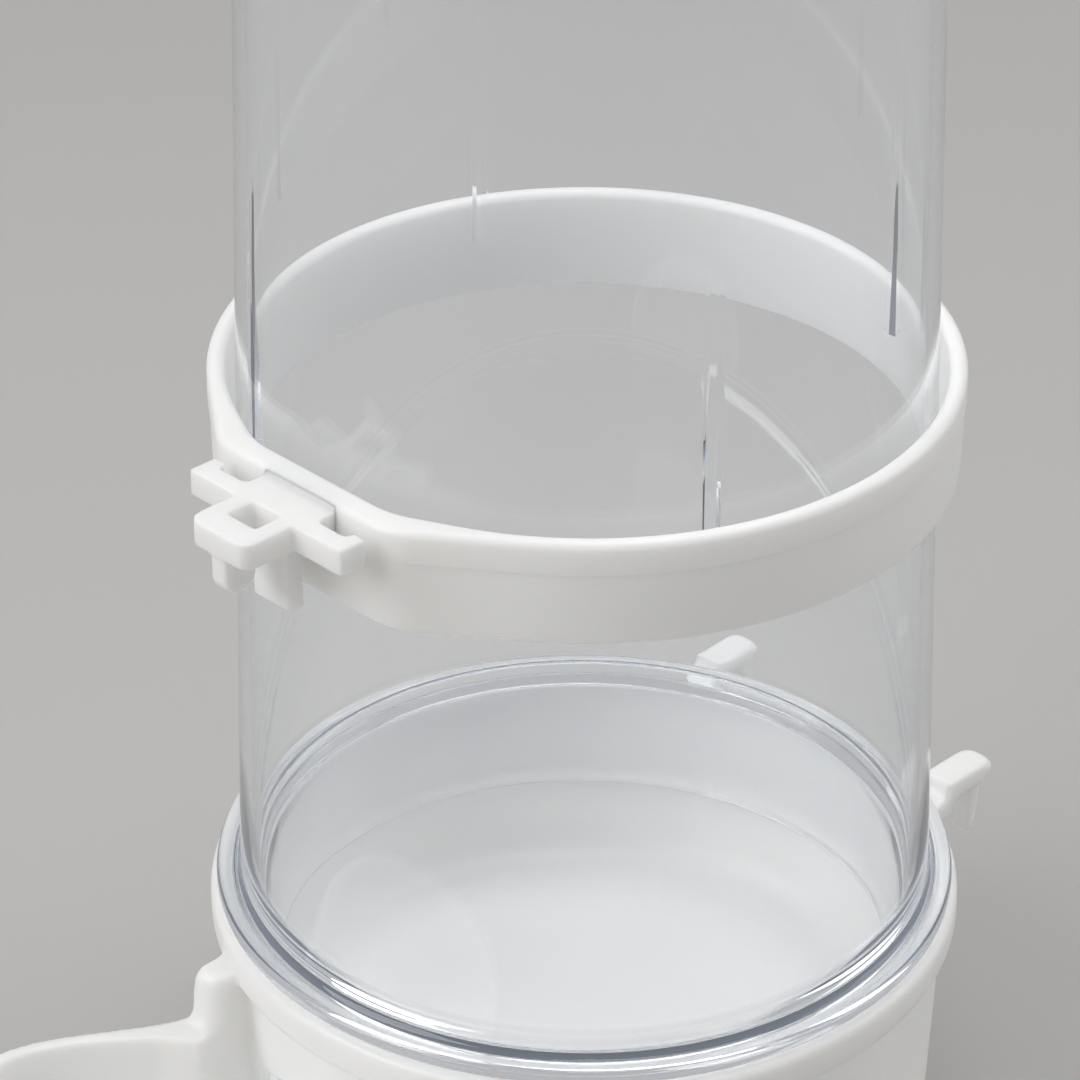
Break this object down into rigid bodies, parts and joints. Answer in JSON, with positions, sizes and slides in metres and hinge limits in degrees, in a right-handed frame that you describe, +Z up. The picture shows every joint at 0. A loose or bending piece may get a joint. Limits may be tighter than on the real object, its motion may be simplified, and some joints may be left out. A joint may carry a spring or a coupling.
{
  "type": "poultry waterer fount",
  "caption": "Clear siphon reservoir that stands in a white bowl with a drinking trough and rear hooks, with a sliding collar that clips to a cage.",
  "frame": {"origin": "on the ground, under the middle of the overall box; the reservoir's upright axis is 25.75 mm towards +Y", "axes": "+Z up along the reservoir; -Y towards the drinking trough; +Y towards the rear hooks; +X to the right seen from the trough"},
  "size_m": [0.1136, 0.1806, 0.23],
  "materials": {
    "white_plastic": "moulded white polypropylene with a soft sheen",
    "clear_plastic": "polished crystal-clear polystyrene"
  },
  "bodies": {
    "base": {"base": "white_plastic"},
    "reservoir": {"reservoir": "clear_plastic"},
    "collar": {"collar": "white_plastic"}
  },
  "joints": [
    {"name": "reservoir_lift", "type": "slide", "parent": "base", "child": "reservoir", "axis": [0, 0, 1], "range_m": [0, 0.04]},
    {"name": "collar_slide", "type": "slide", "parent": "reservoir", "child": "collar", "axis": [0, 0, 1], "range_m": [0, 0.075]}
  ]
}
